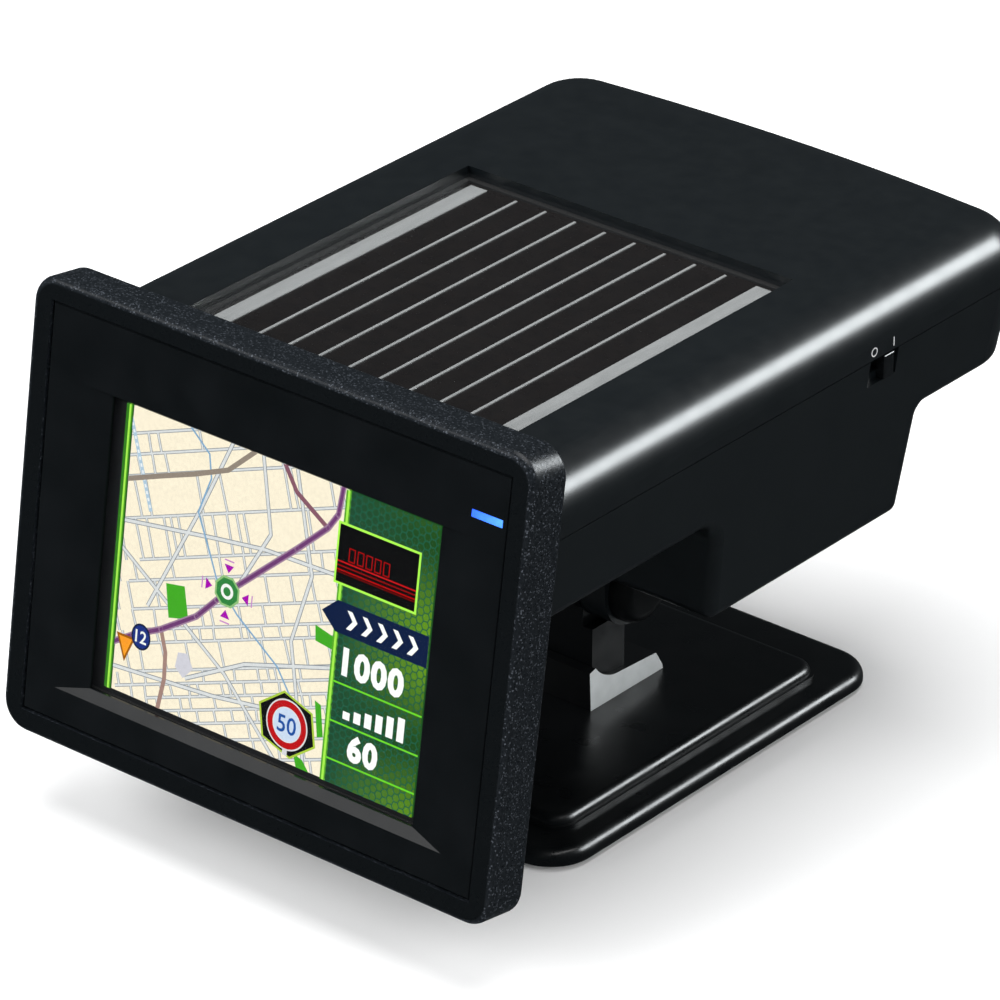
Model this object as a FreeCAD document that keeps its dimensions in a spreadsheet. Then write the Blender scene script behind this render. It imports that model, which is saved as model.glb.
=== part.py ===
"""Dashboard GPS radar receiver with a touch display, solar top and tilt-and-swivel stand.

Frame: +X to the right of a person facing the display, +Y to the rear, +Z up, in millimetres.
The origin is the middle of the adhesive pad's underside. The display leans back, so its parts
are drawn flat in a face frame (x right, y up the face, z out of it) that one placement lifts.
"""
import FreeCAD, Part
import math
import os
import re

import Sketcher
from FreeCAD import Placement, Rotation, Vector

DIMENSIONS = (
    # the leaning display head
    ("face_turn", 81.3, "turn that stands the face frame up, degrees"),
    ("face_y", -75.2, "middle of the display face"),
    ("face_z", 53.5, "height of the middle of the display face"),
    ("rim_wide", 103.2, "bezel width"),
    ("rim_high", 78.3, "bezel height"),
    ("rim_deep", 8.2, "bezel depth"),
    ("rim_corner", 5.0, "bezel corner radius"),
    ("rim_front_round", 1.3, "bezel front edge radius"),
    ("rim_back_round", 0.8, "bezel rear edge radius"),
    ("panel_wide", 95.0, "glossy front panel width"),
    ("panel_high", 70.6, "glossy front panel height"),
    ("panel_sink", 0.3, "front panel face below the bezel's front"),
    ("panel_thick", 1.5, "front panel thickness"),
    ("window_half", 40.8, "half width of the sloping window recess"),
    ("window_top", 23.2, "top of the window recess"),
    ("window_low", 29.4, "bottom of the window recess, below the middle"),
    ("view_half", 34.1, "half width of the opening inside the recess"),
    ("view_top", 22.6, "top of the opening"),
    ("view_low", 27.6, "bottom of the opening, below the middle"),
    ("window_sink", 1.0, "depth of the recess"),
    ("glass_wide", 76.0, "touch panel width"),
    ("glass_high", 56.0, "touch panel height"),
    ("screen_drop", 2.66, "screen middle below the face middle"),
    ("lcd_wide", 72.0, "display module width"),
    ("lcd_high", 54.6, "display module height"),
    ("frame_rim", 1.2, "metal frame's wall"),
    ("fit_gap", 0.05, "clearance between parts that slide together"),
    ("pocket_wide", 90.0, "bezel's inner pocket width"),
    ("pocket_high", 65.6, "bezel's inner pocket height"),
    ("cover_wide", 94.0, "rear cover width"),
    ("cover_high", 69.6, "rear cover height"),
    ("cover_thick", 1.8, "rear cover thickness"),
    ("boss_x", 42.6, "bezel screw boss, from the middle"),
    ("boss_y", 30.4, "bezel screw boss, from the middle"),
    ("led_x", 43.15, "status light bar"),
    ("led_y", 27.1, "status light bar"),
    ("led_wide", 6.0, "status light bar length"),
    ("led_high", 1.2, "status light bar height"),
    # the long case
    ("case_half", 49.8, "half width of the case at the parting line"),
    ("case_front", -70.0, "front of the case before it is trimmed to the face"),
    ("case_rear", 62.0, "rear corners of the case"),
    ("rear_crown", 2.8, "bulge of the rear wall"),
    ("case_corner", 10.5, "upright rear corner radius"),
    ("case_top", 84.8, "top of the case"),
    ("parting", 75.0, "parting line height"),
    ("parting_gap", 0.15, "shadow gap at the parting line"),
    ("top_round", 7.4, "round along the top edges"),
    ("wall", 2.0, "case wall"),
    ("draft", 7.8, "draft of the lower case, degrees"),
    ("belly", 40.4, "underside of the rear bulge"),
    ("eave", 60.0, "underside of the case in front of and behind the bulge"),
    ("eave_round", 2.0, "round along the underside edges"),
    ("bulge_front", -19.2, "front of the bulge at the top"),
    ("bulge_rear", 33.5, "rear of the bulge at the top"),
    ("bulge_lean", 2.2, "how far the bulge's ends draw in at the bottom"),
    ("front_hollow", 5.0, "concave round above the front of the bulge"),
    ("rear_hollow", 1.6, "concave round above the rear of the bulge"),
    ("solar_half", 34.0, "half width of the solar recess"),
    ("solar_front", -59.5, "front of the solar recess"),
    ("solar_rear", 16.7, "rear of the solar recess"),
    ("solar_sink", 1.3, "clear cover below the case top"),
    ("solar_cover_thick", 0.7, "clear cover thickness"),
    ("cell_thick", 1.0, "solar cell plate thickness"),
    ("cell_pitch", 6.27, "spacing of the fine lines on the cell"),
    ("line_wide", 0.5, "fine line width"),
    ("line_thick", 0.15, "fine line height"),
    ("bus_wide", 3.5, "bus bar width"),
    # power switch
    ("switch_y", 20.65, "middle of the switch recess"),
    ("switch_long", 7.5, "switch recess length"),
    ("switch_low", 70.1, "bottom of the switch recess"),
    ("switch_floor", 48.0, "recess floor, from the middle of the case"),
    ("knob_y", 22.0, "knob at its ON end"),
    ("knob_long", 2.6, "knob length"),
    ("knob_travel", 2.5, "knob travel to OFF"),
    ("stem_low", 71.9, "underside of the knob's stem"),
    ("stem_high", 1.6, "height of the knob's stem"),
    ("stem_long", 1.8, "length of the knob's stem along its travel"),
    # main board and what it carries
    ("board_low", 69.6, "underside of the main board"),
    ("board_thick", 1.6, "main board thickness"),
    ("board_half", 36.0, "half width of the main board"),
    ("board_front", -54.0, "front edge of the main board"),
    ("board_rear", 52.0, "rear edge of the main board"),
    ("board_screw_x", 30.0, "board screws, from the middle"),
    ("board_screw_front", -46.0, "front board screws"),
    ("board_screw_rear", 48.0, "rear board screws"),
    ("jack_y", 33.0, "power socket"),
    ("jack_z", 65.8, "power socket"),
    ("jack_face", -45.5, "mouth of the power socket"),
    ("card_y", 14.0, "middle of the card socket"),
    ("card_z", 73.25, "height of the card"),
    ("antenna_y", 33.0, "middle of the GPS antenna"),
    ("ribbon_y", -50.0, "ribbon connector"),
    ("horn_throat_y", 4.0, "where the horn starts"),
    ("horn_mouth_y", 27.5, "rear end of the horn"),
    ("speaker_x", -31.0, "speaker axis"),
    ("speaker_y", 6.5, "speaker axis"),
    ("cell_radius", 5.2, "battery cell radius"),
    ("cell_long", 43.0, "battery cell length"),
    ("cell_front", -15.0, "front end of the battery cells"),
    ("screw_x", 41.5, "case screws, from the middle"),
    ("screw_front", -50.0, "front case screws"),
    ("screw_rear", 51.0, "rear case screws"),
    # stand
    ("pad_wide", 64.0, "adhesive pad width"),
    ("pad_deep", 81.0, "adhesive pad depth"),
    ("pad_thick", 1.0, "adhesive pad thickness"),
    ("base_wide", 69.6, "base plate width"),
    ("base_deep", 86.6, "base plate depth"),
    ("base_corner", 8.0, "base plate corner radius"),
    ("base_top", 3.5, "top of the base plate"),
    ("base_round", 2.0, "radius of the base plate's top edge"),
    ("platform_round", 1.6, "radius of the platform's top edge"),
    ("step_top", 4.1, "top of the low step round the platform"),
    ("step_grow", 0.6, "how far the step stands out from the platform"),
    ("platform_wide", 58.0, "platform width"),
    ("platform_deep", 69.2, "platform depth"),
    ("platform_y", -1.1, "middle of the platform"),
    ("platform_top", 5.5, "top of the platform"),
    ("pivot_y", 2.8, "swivel axis and tilt axis"),
    ("pivot_web", 3.0, "ceiling of the pivot pocket under the base"),
    ("pivot_radius", 3.0, "pivot screw shoulder radius"),
    ("foot_screw_x", 6.0, "foot screws, from the middle"),
    ("foot_screw_y", 1.8, "foot screws"),
    ("foot_half", 10.0, "half width of the stand foot"),
    ("foot_low", 5.55, "underside of the stand foot"),
    ("foot_front", -4.7, "front of the stand foot"),
    ("foot_tail", 14.8, "rear of the stand foot"),
    ("arm_half", 9.0, "half width of the stand arm"),
    ("arm_front", -2.9, "front of the stand arm"),
    ("arm_rear", 5.6, "rear of the stand arm"),
    ("arm_low", 8.0, "underside of the stand arm in its foot"),
    ("arm_shoulder", 20.0, "top of the arm's wide part"),
    ("tilt_z", 28.0, "tilt axis height"),
    ("hub_radius", 7.4, "radius of the tilt hub"),
    ("hub_half", 7.0, "half width of the arm's hub"),
    ("washer_thick", 0.3, "friction washer thickness"),
    ("ear_thick", 5.7, "bracket ear thickness"),
    ("bolt_radius", 2.5, "tilt bolt radius"),
    ("bracket_wide", 38.0, "bracket plate width"),
    ("bracket_deep", 30.0, "bracket plate depth"),
    ("bracket_thick", 3.0, "bracket plate thickness"),
    ("bracket_screw_x", 16.2, "bracket screws, from the middle"),
    ("bracket_screw_y", 11.5, "bracket screws, from the tilt axis"),
)

doc = FreeCAD.newDocument("radar_receiver")
sheet = doc.addObject("Spreadsheet::Sheet", "Dimensions")
nodes = []


def fill_sheet():
    """Write every driving dimension into the sheet under its own name."""
    for row, (alias, value, meaning) in enumerate(DIMENSIONS, start=1):
        sheet.set(f"A{row}", meaning)
        sheet.set(f"B{row}", str(value))
        sheet.setAlias(f"B{row}", alias)
    doc.recompute()


# --------------------------------------------------------------------------- helpers

def linked(expression):
    """The expression with each bare name pointed at the sheet."""
    return re.sub(r"\b([a-z]\w*)\b(?!\()", r"Dimensions.\1", str(expression))


def number(expression):
    """The value of an expression written in the sheet's names."""
    return float(sheet.evalExpression(linked(expression)))


def bind(thing, **properties):
    """Bind properties of one object to expressions."""
    for name, expression in properties.items():
        thing.setExpression(name, linked(expression))
    return thing


def put(thing, x="0", y="0", z="0"):
    """Bind the position of one object."""
    for axis, expression in zip("xyz", (x, y, z)):
        thing.setExpression(f"Placement.Base.{axis}", linked(expression))
    return thing


def box(name, wide, deep, high, x="0", y="0", z="0"):
    """A block centred on x and y that stands on z."""
    block = bind(doc.addObject("Part::Box", name), Length=wide, Width=deep, Height=high)
    return put(block, f"({x}) - ({wide}) / 2", f"({y}) - ({deep}) / 2", z)


def rod(name, radius, length, x="0", y="0", z="0", along="Z"):
    """A cylinder that starts at x, y, z and runs along one axis."""
    cylinder = bind(doc.addObject("Part::Cylinder", name), Radius=radius, Height=length)
    turns = {"X": Rotation(Vector(0, 1, 0), 90), "Y": Rotation(Vector(1, 0, 0), -90), "Z": Rotation()}
    cylinder.Placement = Placement(Vector(), turns[along])
    return put(cylinder, x, y, z)


def fuse(name, *pieces):
    """One solid from pieces that touch or overlap."""
    joined = doc.addObject("Part::MultiFuse", name)
    joined.Shapes = list(pieces)
    joined.Refine = True
    return joined


def cut(name, blank, *tools):
    """A blank with one or more tools taken away."""
    if len(tools) > 1:
        tool = fuse(f"{name}_tools", *tools)
    else:
        tool = tools[0]
    result = doc.addObject("Part::Cut", name)
    result.Base = blank
    result.Tool = tool
    result.Refine = True
    return result


def group(name, pieces):
    """Identical or matching pieces that stay separate solids in one node."""
    compound = doc.addObject("Part::Compound", name)
    compound.Links = list(pieces)
    return compound


def posts(name, places, radius, low, height):
    """One upright post at each place."""
    return [rod(f"{name}_{index}", radius, height, x, y, low)
            for index, (x, y) in enumerate(places)]


def screws(name, places, head, shank):
    """One screw at each place; head and shank are (radius, low, length)."""
    heads = posts(f"{name}_head", places, head[0], head[1], head[2])
    shanks = posts(f"{name}_shank", places, shank[0], shank[1], shank[2])
    return group(f"{name}_set", [fuse(f"{name}_{index}", *pair)
                                 for index, pair in enumerate(zip(heads, shanks))])


def soften(name, source, radius, wanted):
    """Round the edges of a Part object that the test picks."""
    doc.recompute()
    size = number(radius)
    rounded = doc.addObject("Part::Fillet", name)
    rounded.Base = source
    rounded.Edges = [(index, size, size) for index, edge in enumerate(source.Shape.Edges, start=1)
                     if wanted(edge)]
    return rounded


def node(label, thing):
    """Name a finished sub-part."""
    thing.Label = label
    nodes.append(thing)
    return thing


def face_node(label, thing):
    """Name a sub-part drawn in the face frame and lift it into place."""
    lifted = group(f"{label}_in_place", [thing])
    lifted.Placement = Placement(Vector(), Rotation(Vector(1, 0, 0), number("face_turn")))
    put(lifted, "0", "face_y", "face_z")
    lifted.setExpression("Placement.Rotation.Angle", linked("face_turn"))
    return node(label, lifted)


# --------------------------------------------------------------------------- sketches

def new_body(name):
    return doc.addObject("PartDesign::Body", name)


def new_sketch(body, name, plane="XY_Plane", offset="0"):
    """A sketch on one of the body's own origin planes, shifted along its normal."""
    sketch = body.newObject("Sketcher::SketchObject", name)
    support = [item for item in body.Origin.OriginFeatures if item.Role == plane][0]
    sketch.AttachmentSupport = (support, [""])
    sketch.MapMode = "FlatFace"
    sketch.setExpression("AttachmentOffset.Base.z", linked(offset))
    return sketch


def pin_point(sketch, geometry, end, x, y):
    """Tie one end of a line or arc to expressions."""
    for kind, expression in (("DistanceX", x), ("DistanceY", y)):
        index = sketch.addConstraint(
            Sketcher.Constraint(kind, -1, 1, geometry, end, number(expression)))
        sketch.setExpression(f"Constraints[{index}]", linked(expression))


def draw_outline(sketch, corners, bulges=None):
    """A closed outline through corners; bulges maps a side to the point its arc passes."""
    bulges = bulges or {}
    spots = [Vector(number(x), number(y), 0) for x, y in corners]
    count = len(corners)
    for side in range(count):
        start = spots[side]
        finish = spots[(side + 1) % count]
        if side in bulges:
            middle = Vector(number(bulges[side][0]), number(bulges[side][1]), 0)
            draw_arc(sketch, side, (corners[side], corners[(side + 1) % count]),
                     (start, middle, finish))
        else:
            sketch.addGeometry(Part.LineSegment(start, finish))
            pin_point(sketch, side, 1, *corners[side])
            pin_point(sketch, side, 2, *corners[(side + 1) % count])


def draw_arc(sketch, side, ends, spots):
    """An arc through three spots; a sketch arc always runs anticlockwise, so its ends may swap."""
    start, middle, finish = spots
    circle = Part.Arc(start, middle, finish).toShape().Curve
    centre = circle.Center
    turns_left = (middle - start).cross(finish - middle).z > 0
    if not turns_left:
        start, finish = finish, start
        ends = (ends[1], ends[0])
    angles = [math.atan2(spot.y - centre.y, spot.x - centre.x) for spot in (start, finish)]
    if angles[1] < angles[0]:
        angles[1] += 2 * math.pi
    flat_circle = Part.Circle(centre, Vector(0, 0, 1), circle.Radius)
    sketch.addGeometry(Part.ArcOfCircle(flat_circle, *angles))
    pin_point(sketch, side, 1, *ends[0])
    pin_point(sketch, side, 2, *ends[1])
    sketch.addConstraint(Sketcher.Constraint("Radius", side, circle.Radius))


def rectangle(sketch, half_wide, low, high, shift="0"):
    """A plain rectangle, symmetrical about shift, from low to high."""
    left = f"({shift}) - ({half_wide})"
    right = f"({shift}) + ({half_wide})"
    draw_outline(sketch, [(left, low), (right, low), (right, high), (left, high)])


def pad(body, name, sketch, length, **options):
    """Pad a sketch; options set properties such as Reversed or TaperAngle."""
    return shaped(body, "PartDesign::Pad", name, sketch, length, options)


def pocket(body, name, sketch, length, **options):
    """Cut a sketch out of the body."""
    return shaped(body, "PartDesign::Pocket", name, sketch, length, options)


def shaped(body, kind, name, sketch, length, options):
    before = body.Shape.Volume if body.Tip else 0.0
    feature = body.newObject(kind, name)
    feature.Profile = sketch
    feature.setExpression("Length", linked(length))
    for option, value in options.items():
        setattr(feature, option, value)
    doc.recompute()
    grew = feature.Shape.Volume - before
    if (kind == "PartDesign::Pad") != (grew > 0):
        raise RuntimeError(f"{name} changed the volume by {grew:.2f} mm3, the wrong way or not at all")
    return feature


def round_edges(body, name, radius, wanted, kind="PartDesign::Fillet"):
    """Fillet or chamfer the edges of the body's last feature that the test picks."""
    doc.recompute()
    last = body.Tip
    picked = [f"Edge{index}" for index, edge in enumerate(last.Shape.Edges, start=1) if wanted(edge)]
    feature = body.newObject(kind, name)
    feature.Base = (last, picked)
    feature.setExpression("Radius" if kind.endswith("Fillet") else "Size", linked(radius))
    doc.recompute()
    return feature


def ruled_loft(body, kind, name, sketches):
    """A straight-sided loft from one sketch to the next, added or taken away."""
    feature = body.newObject(kind, name)
    feature.Profile = sketches[0]
    feature.Sections = [sketches[1]]
    feature.Ruled = True
    doc.recompute()


def upright(edge):
    """True for an edge that runs mostly up and down."""
    low, high = edge.BoundBox.ZMin, edge.BoundBox.ZMax
    return high - low > 0.8 * edge.Length


def at_height(edge, height, slack=0.01):
    """True for an edge that lies wholly at one height."""
    return abs(edge.BoundBox.ZMin - height) < slack and abs(edge.BoundBox.ZMax - height) < slack


# --------------------------------------------------------------------------- display head

def bezel_rim():
    body = new_body("bezel_rim_body")
    outline = new_sketch(body, "rim_outline")
    rectangle(outline, "rim_wide / 2", "-rim_high / 2", "rim_high / 2")
    pad(body, "rim_block", outline, "rim_deep", Reversed=True)
    round_edges(body, "rim_corners", "rim_corner", upright)
    front, back = 0.0, -number("rim_deep")
    round_edges(body, "rim_front_edge", "rim_front_round", lambda edge: at_height(edge, front))
    round_edges(body, "rim_back_edge", "rim_back_round", lambda edge: at_height(edge, back))
    seat = new_sketch(body, "panel_seat")
    rectangle(seat, "panel_wide / 2", "-panel_high / 2", "panel_high / 2")
    pocket(body, "panel_pocket", seat, "panel_sink + panel_thick")
    inner = new_sketch(body, "inner_outline")
    rectangle(inner, "pocket_wide / 2", "-pocket_high / 2", "pocket_high / 2")
    pocket(body, "inner_pocket", inner, "rim_deep")
    rear = new_sketch(body, "cover_seat", offset="-rim_deep")
    rectangle(rear, "cover_wide / 2", "-cover_high / 2", "cover_high / 2")
    pocket(body, "cover_pocket", rear, "cover_thick", Reversed=True)
    places = signed("boss_x", "boss_y")
    height = "rim_deep - cover_thick - panel_sink - panel_thick"
    bosses = posts("rim_boss", places, "2.6", "cover_thick - rim_deep", height)
    pilots = posts("rim_pilot", places, "0.82", "cover_thick - rim_deep", height)
    ring = fuse("rim_with_bosses", body, *bosses)
    face_node("bezel_rim", cut("rim_drilled", ring, *pilots))


def signed(x, y):
    """The four places at plus and minus x and y."""
    return [(f"{side}({x})", f"{end}({y})") for side in ("-", "+") for end in ("-", "+")]


def front_panel():
    body = new_body("front_panel_body")
    outline = new_sketch(body, "panel_outline", offset="-panel_sink")
    rectangle(outline, "panel_wide / 2 - fit_gap", "fit_gap - panel_high / 2",
              "panel_high / 2 - fit_gap")
    pad(body, "panel_block", outline, "panel_thick", Reversed=True)
    front = -number("panel_sink")
    round_edges(body, "panel_edge", "0.5", lambda edge: at_height(edge, front),
                "PartDesign::Chamfer")
    mouth = new_sketch(body, "window_mouth", offset="-panel_sink")
    rectangle(mouth, "window_half", "-window_low", "window_top")
    throat = new_sketch(body, "window_throat", offset="-panel_sink - window_sink")
    rectangle(throat, "view_half", "-view_low", "view_top")
    ruled_loft(body, "PartDesign::SubtractiveLoft", "window_recess", [mouth, throat])
    opening = new_sketch(body, "view_outline", offset="-panel_sink")
    rectangle(opening, "view_half", "-view_low", "view_top")
    pocket(body, "view_opening", opening, "panel_thick + 1")
    slot = new_sketch(body, "led_slot", offset="-panel_sink")
    rectangle(slot, "led_wide / 2 + fit_gap", "led_y - led_high / 2 - fit_gap",
              "led_y + led_high / 2 + fit_gap", shift="led_x")
    pocket(body, "led_opening", slot, "panel_thick + 1")
    face_node("front_panel", body)


def flat_ring(name, wide, high, wall, thick, top, drop):
    """A flat frame in the face frame whose front lies at top."""
    middle = f"-({drop})"
    outer = box(f"{name}_outer", wide, high, thick, "0", middle, f"({top}) - ({thick})")
    inner = box(f"{name}_inner", f"({wide}) - 2 * ({wall})", f"({high}) - 2 * ({wall})",
                f"({thick}) + 2", "0", middle, f"({top}) - ({thick}) - 1")
    return cut(name, outer, inner)


def screen_stack():
    """Touch glass, gasket, display module, its metal frame and the board behind it."""
    glass_top = "-panel_sink - panel_thick - fit_gap"
    glass = box("touch_glass", "glass_wide", "glass_high", "1.0", "0", "-screen_drop",
                f"{glass_top} - 1.0")
    face_node("touch_panel", glass)
    gasket_top = f"{glass_top} - 1.0"
    gasket = flat_ring("screen_gasket_ring", "glass_wide - 1", "glass_high - 1", "2.2", "0.4",
                       gasket_top, "screen_drop")
    face_node("screen_gasket", gasket)
    module_top = f"{gasket_top} - 0.4"
    module = box("lcd_block", "lcd_wide", "lcd_high", "2.4", "0", "-screen_drop",
                 f"{module_top} - 2.4")
    face_node("lcd_panel", module)
    frame = flat_ring("lcd_frame_ring", "lcd_wide + 2 * frame_rim + 2 * fit_gap",
                      "lcd_high + 2 * frame_rim + 2 * fit_gap", "frame_rim", "2.4",
                      module_top, "screen_drop")
    face_node("lcd_frame", frame)
    board = box("display_board_block", "76", "58", "0.6", "0", "-1", "-6.35")
    face_node("display_board", board)


def status_light():
    bar = box("led_bar", "led_wide", "led_high", "1.5", "led_x", "led_y", "-1.75")
    stem = box("led_stem", "1.2", "led_high", "3.2", "led_x - led_wide / 2 + 0.75", "led_y", "-4.9")
    face_node("status_led_lens", fuse("led_light_guide", bar, stem))
    tongue = box("led_tongue", "6.2", "1.2", "0.6", "41.1", "led_y", "-6.35")
    chip = box("led_chip", "1.2", "1.0", "0.8", "led_x - led_wide / 2 + 0.75", "led_y", "-5.75")
    face_node("status_led", fuse("led_on_tongue", tongue, chip))


def display_back_cover():
    plate = box("cover_plate", "cover_wide - 2 * fit_gap", "cover_high - 2 * fit_gap",
                "cover_thick", "0", "0", "-rim_deep")
    plug = box("cover_plug", "90.4", "16.9", "3", "0", "19.75", "-rim_deep - 3")
    plug_bore = box("cover_plug_bore", "86.8", "13.3", "4", "0", "19.75", "-rim_deep - 4")
    window = box("cover_window", "44", "11", "cover_thick + 2", "0", "19", "-rim_deep - 1")
    places = signed("boss_x", "boss_y")
    holes = posts("cover_hole", places, "0.95", "-rim_deep - 1", "cover_thick + 2")
    holes += posts("cover_sink", places, "1.9", "-rim_deep", "0.9")
    blank = fuse("cover_with_plug", plate, plug)
    face_node("display_back_cover", cut("cover_drilled", blank, plug_bore, window, *holes))
    face_node("display_screws", screws("cover_screw", places, ("1.75", "-rim_deep + 0.1", "0.8"),
                                       ("0.8", "-rim_deep + 0.9", "4.5")))


# --------------------------------------------------------------------------- case

def plan_outline(sketch, inset="0", front="case_front"):
    """The case seen from above: straight sides and a gently crowned rear wall."""
    half = f"case_half - ({inset})"
    rear = f"case_rear - ({inset})"
    corners = [(f"-({half})", front), (half, front), (half, rear), (f"-({half})", rear)]
    draw_outline(sketch, corners, {2: ("0", f"{rear} + rear_crown")})


def face_trim(name):
    """A block that takes away everything in front of the leaning bezel's rear face."""
    block = box(name, "200", "200", "200", "0", "0", "-rim_deep - fit_gap")
    block.Placement = Placement(Vector(), Rotation(Vector(1, 0, 0), number("face_turn")))
    block.setExpression("Placement.Rotation.Angle", linked("face_turn"))
    # the block's corner, turned with the face frame about the middle of the face
    side = "100"
    out = "(rim_deep + fit_gap)"
    put(block, f"-{side}",
        f"face_y - {side} * cos(face_turn * 1deg) + {out} * sin(face_turn * 1deg)",
        f"face_z - {side} * sin(face_turn * 1deg) - {out} * cos(face_turn * 1deg)")
    return block


def upper_case():
    body = new_body("upper_case_body")
    outline = new_sketch(body, "upper_outline", offset="parting")
    plan_outline(outline)
    pad(body, "upper_block", outline, "case_top - parting")
    rear = number("case_rear")
    round_edges(body, "upper_corners", "case_corner",
                lambda edge: upright(edge) and abs(edge.BoundBox.YMax - rear) < 0.02)
    top, front = number("case_top"), number("case_front")
    round_edges(body, "upper_top_round", "top_round",
                lambda edge: at_height(edge, top) and edge.BoundBox.YMax > front + 1)
    open_faces = shell_openings(body.Tip)
    shell = body.newObject("PartDesign::Thickness", "upper_shell")
    shell.Base = open_faces
    shell.setExpression("Value", linked("wall"))
    shell.Reversed = True
    shell.Mode = 0
    shell.Join = 0
    doc.recompute()
    tray_low = "case_top - solar_sink - solar_cover_thick - cell_thick - 1.4"
    tray = box("solar_tray", "2 * solar_half + 3", "solar_rear - solar_front + 3",
               f"case_top - ({tray_low}) - 1", "0", "(solar_rear + solar_front) / 2", tray_low)
    bosses = posts("upper_boss", screw_places(), "3", "parting + 0.6", "case_top - parting - 3")
    pilots = posts("upper_pilot", screw_places(), "1.02", "parting + 0.5", "5.6")
    recess = box("solar_pocket", "2 * solar_half", "solar_rear - solar_front",
                 "solar_sink + solar_cover_thick + cell_thick + 1", "0",
                 "(solar_rear + solar_front) / 2",
                 "case_top - solar_sink - solar_cover_thick - cell_thick")
    blank = fuse("upper_blank", body, tray, *bosses)
    node("upper_case", cut("upper_trimmed", blank, recess, face_trim("upper_front_trim"), *pilots))


def shell_openings(feature):
    """The bottom and front faces of the upper block, which the shell leaves open."""
    low, front = number("parting"), number("case_front")
    names = []
    for index, surface in enumerate(feature.Shape.Faces, start=1):
        limits = surface.BoundBox
        flat_low = abs(limits.ZMax - low) < 0.01
        flat_front = abs(limits.YMax - front) < 0.01
        if flat_low or flat_front:
            names.append(f"Face{index}")
    return (feature, names)


def screw_places():
    """Where the four case screws stand."""
    return [(f"{side}screw_x", end) for side in ("-", "+") for end in ("screw_front", "screw_rear")]


def end_profile(sketch, wall_top, wall_foot, hollow, away, sense):
    """Side view of what is cut away at one end of the bulge, with a concave round."""
    knee = f"{wall_top} + {sense} * {hollow}"
    middle = (f"{wall_top} + {sense} * {hollow} * 0.29", f"eave - {hollow} * 0.29")
    corners = [(away, "belly - 10"), (wall_foot, "belly - 10"), (wall_top, f"eave - {hollow}"),
               (knee, "eave"), (away, "eave")]
    draw_outline(sketch, corners, {2: middle})


def bulge_cut(body, name, wall_top, hollow, away, sense):
    """Pocket one end of the case up to the eave, right across."""
    sketch = new_sketch(body, f"{name}_profile", plane="YZ_Plane")
    end_profile(sketch, wall_top, f"{wall_top} - {sense} * bulge_lean", hollow, away, sense)
    pocket(body, name, sketch, "300", Midplane=True)


def on_underside(edge):
    """True for the outer edges that run round the underside, the bulge included."""
    limits = edge.BoundBox
    near_side = min(abs(limits.XMin), abs(limits.XMax)) > number("case_half") - 12
    across = abs(limits.YMax - limits.YMin) < 0.01 and limits.ZMax - limits.ZMin < 0.01
    outer = near_side or at_height(edge, number("belly"))
    behind = limits.YMin > number("bulge_rear") + 4 and at_height(edge, number("eave"))
    inside_front = across and limits.YMin < number("case_front") + 1
    return (outer or behind) and limits.ZMax < number("parting") - 2 and not inside_front


def lower_block():
    """The drafted lower moulding, solid, with its rear bulge."""
    body = new_body("lower_case_body")
    outline = new_sketch(body, "lower_outline", offset="parting - parting_gap")
    plan_outline(outline)
    pad(body, "lower_block", outline, "parting - parting_gap - belly", Reversed=True,
        TaperAngle=-number("draft"))
    rear = number("case_rear")
    round_edges(body, "lower_corners", "case_corner",
                lambda edge: upright(edge) and abs(edge.BoundBox.YMax - rear) < 0.3)
    bulge_cut(body, "front_cut", "bulge_front", "front_hollow", "case_front - 30", "(-1)")
    bulge_cut(body, "rear_cut", "bulge_rear", "rear_hollow", "case_rear + 30", "1")
    round_edges(body, "underside_edges", "eave_round", on_underside)
    return body


def lower_hollows():
    """The hollow above the floor and the one inside the bulge."""
    body = new_body("lower_cavity")
    sketch = new_sketch(body, "lower_cavity_outline", offset="parting + 1")
    plan_outline(sketch, inset="wall", front="case_front - 5")
    pad(body, "lower_cavity_block", sketch, "parting + 1 - (eave + wall)", Reversed=True,
        TaperAngle=-number("draft"))
    last = number("case_rear - wall")
    round_edges(body, "lower_cavity_corners", "case_corner - wall",
                lambda edge: upright(edge) and abs(edge.BoundBox.YMax - last) < 0.3)
    middle = "(bulge_rear + bulge_front) / 2"
    belly_hollow = box("bulge_cavity", "2 * case_half - 2 * wall - 9.4",
                       "bulge_rear - bulge_front - 2 * wall - 3", "eave + 3 - belly - wall", "0",
                       middle, "belly + wall")
    return [body, belly_hollow]


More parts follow.
